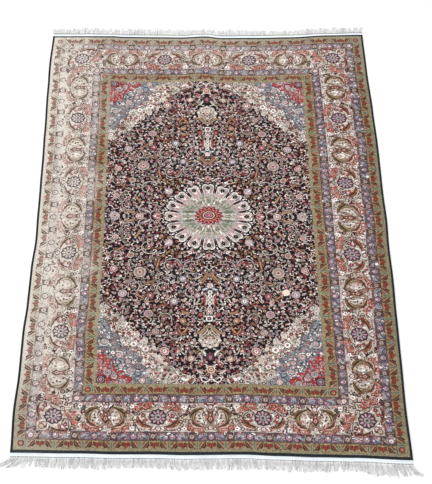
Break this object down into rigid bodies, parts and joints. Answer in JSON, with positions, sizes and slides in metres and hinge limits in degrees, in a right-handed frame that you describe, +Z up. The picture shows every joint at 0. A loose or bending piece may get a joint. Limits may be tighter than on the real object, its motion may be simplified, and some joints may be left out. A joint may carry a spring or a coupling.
{
  "type": "silk rug",
  "caption": "Flat knotted silk rug with a central medallion, corner pieces and a wide border, overcast cords along its sides and a woven band with a fringe at each end.",
  "frame": {"origin": "middle of the pile's underside, on the floor", "axes": "+Z up out of the pile, +Y along the rug's length towards the far end, +X to the right seen from the near end"},
  "size_m": [1.2768, 1.9763, 0.006],
  "materials": {
    "silk_pile": "short silk pile with a soft sheen",
    "selvedge_yarn": "tightly wrapped dark teal yarn",
    "fringe_yarn": "undyed off-white yarn, plain woven and loose"
  },
  "bodies": {
    "root": {"rug_pile": "silk_pile", "selvedge_left": "selvedge_yarn", "selvedge_right": "selvedge_yarn", "fringe_near": "fringe_yarn", "fringe_far": "fringe_yarn"}
  },
  "joints": []
}
